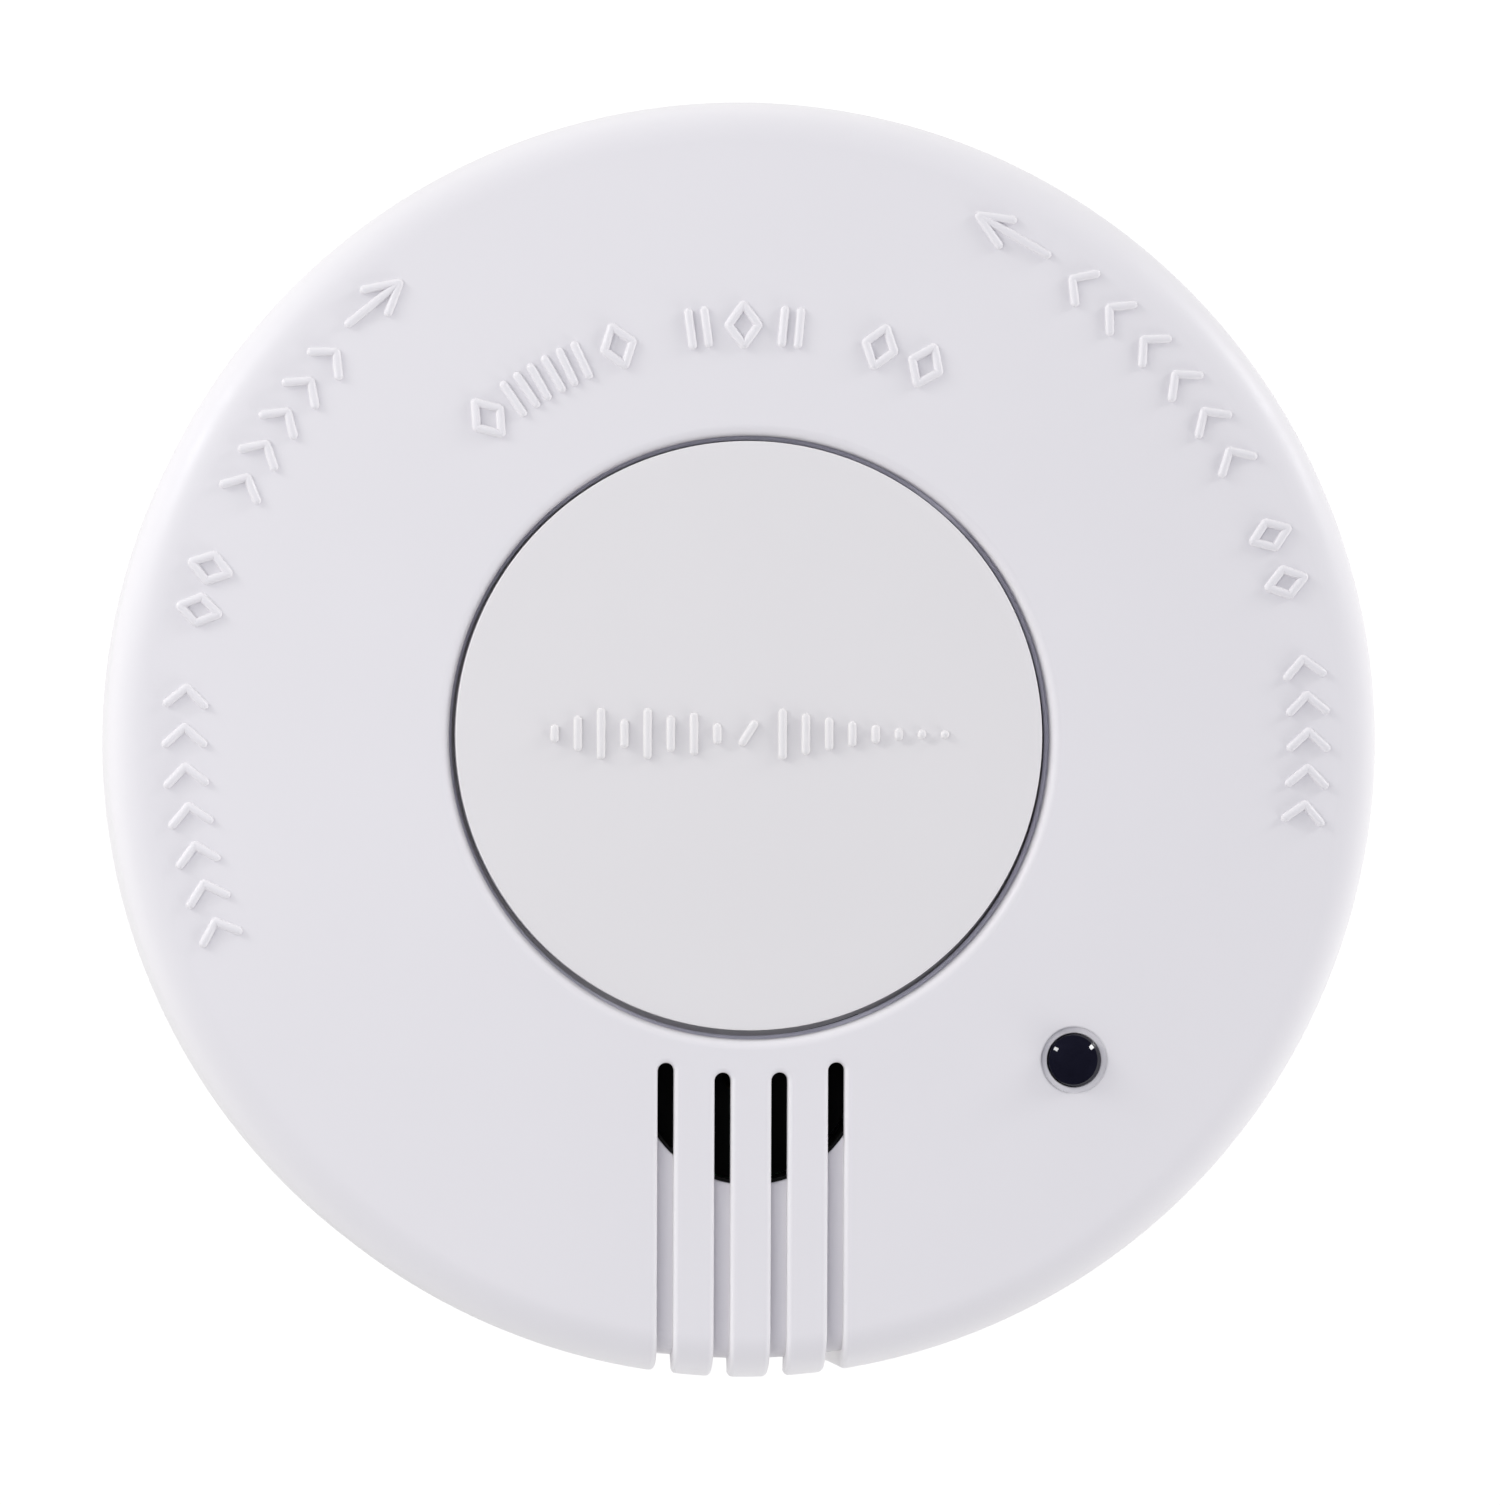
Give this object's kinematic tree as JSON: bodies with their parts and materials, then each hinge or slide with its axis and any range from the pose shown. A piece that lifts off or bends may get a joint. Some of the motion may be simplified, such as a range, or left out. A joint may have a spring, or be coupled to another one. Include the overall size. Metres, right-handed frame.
{
  "type": "smoke detector",
  "caption": "Round white ceiling smoke alarm with a large press-to-test button, sound slots, a dark indicator lens and a twist-lock mounting plate.",
  "frame": {"origin": "centre of the mounting plate's back face, which lies on the ceiling", "axes": "+Z from the ceiling into the room, out of the test button; -Y towards the sound slots; +X to the right seen from the room with the slots below"},
  "size_m": [0.12, 0.1196, 0.0365],
  "materials": {
    "housing": "fine satin moulded ABS, off-white",
    "button": "fine satin moulded ABS, off-white",
    "black_plastic": "fine matt black",
    "smoked_lens": "polished smoked acrylic",
    "clear_resin": "clear moulded epoxy",
    "laminate": "green solder mask over glass laminate",
    "brass_sheet": "rolled sheet",
    "steel": "zinc plated",
    "battery_can": "printed metal jacket, left plain",
    "red_insulation": "PVC",
    "ferrite": "sintered ferrite",
    "capacitor_sleeve": "shrunk sleeve",
    "resistor_coat": "lacquer"
  },
  "bodies": {
    "bracket": {"mounting_plate": "housing"},
    "alarm": {"base_housing": "housing", "front_cover": "housing", "stem_guide": "housing", "button_return_spring": "steel", "light_guide": "smoked_lens", "indicator_led": "clear_resin", "sounder_body": "black_plastic", "piezo_disc": "brass_sheet", "sounder_contact_1": "steel", "sounder_contact_2": "steel", "sounder_contact_3": "steel", "circuit_board": "laminate", "chamber_base": "black_plastic", "insect_screen": "steel", "chamber_cap": "black_plastic", "ir_emitter": "clear_resin", "photodiode": "smoked_lens", "battery": "battery_can", "battery_terminal_positive": "steel", "battery_terminal_negative": "steel", "snap_positive": "brass_sheet", "snap_negative": "brass_sheet", "snap_cover": "black_plastic", "battery_wire_red": "red_insulation", "battery_wire_black": "black_plastic", "microcontroller": "black_plastic", "capacitor_large": "capacitor_sleeve", "capacitor_small": "capacitor_sleeve", "inductor": "ferrite", "transistor": "black_plastic", "resistor_1": "resistor_coat", "resistor_2": "resistor_coat", "resistor_3": "resistor_coat", "resistor_4": "resistor_coat", "test_switch_body": "black_plastic", "housing_screw_1": "steel", "housing_screw_2": "steel", "housing_screw_3": "steel", "board_screw_1": "steel", "board_screw_2": "steel", "board_screw_3": "steel"},
    "button": {"test_button": "button"},
    "plunger": {"test_switch_plunger": "button"}
  },
  "joints": [
    {"name": "bracket_twist", "type": "hinge", "parent": "bracket", "child": "alarm", "pos_m": [0, 0, 0.006], "axis": [0, 0, 1], "range_deg": [0, 15]},
    {"name": "button_press", "type": "slide", "parent": "alarm", "child": "button", "axis": [0, 0, -1], "range_m": [0, 0.0009], "stiffness_N_per_m": 1500, "springref_m": -0.002, "deforming": ["button_return_spring"]},
    {"name": "switch_plunger_slide", "type": "slide", "parent": "alarm", "child": "plunger", "axis": [0, 0, -1], "range_m": [0, 0.0009]}
  ],
  "couplings": [
    {"joint": "switch_plunger_slide", "follows": "button_press", "ratio": 1}
  ]
}
